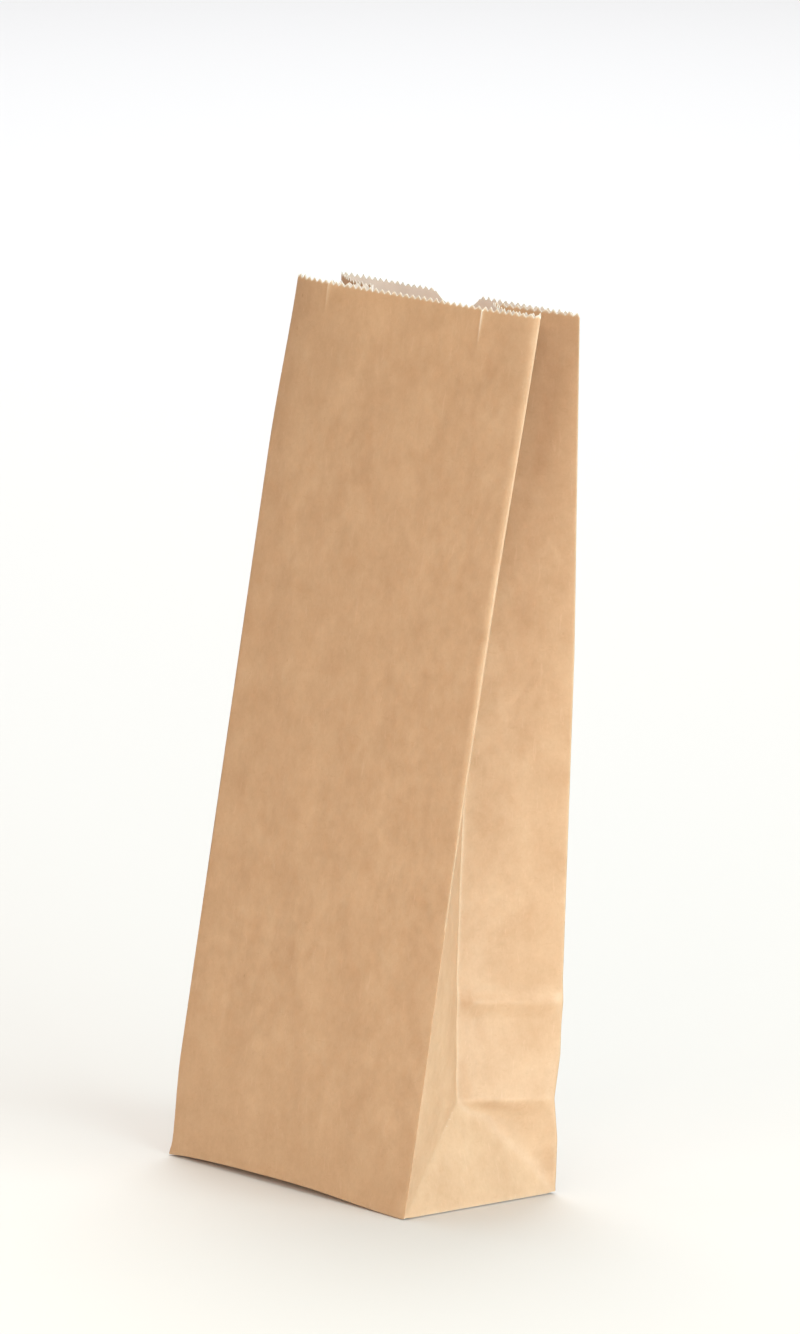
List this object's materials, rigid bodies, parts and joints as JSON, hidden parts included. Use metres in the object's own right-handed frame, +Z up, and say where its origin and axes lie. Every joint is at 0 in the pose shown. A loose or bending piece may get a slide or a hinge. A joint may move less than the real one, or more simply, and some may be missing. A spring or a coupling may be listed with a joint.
{
  "type": "paper bag",
  "caption": "Open block-bottom brown paper bag with gusseted sides and a pinked mouth, standing empty to take dry food or small goods.",
  "frame": {"origin": "middle of the base's rectangle, on the surface the bag stands on", "axes": "+Z up towards the mouth; +X along the base's long edge, towards the right gusset; +Y towards the upright back panel, away from the panel that leans back over the base"},
  "size_m": [0.12, 0.0709, 0.2919],
  "materials": {
    "brown_paper": "uncoated, matt, with fine fibres"
  },
  "bodies": {
    "root": {"paper_bag": "brown_paper"}
  },
  "joints": []
}
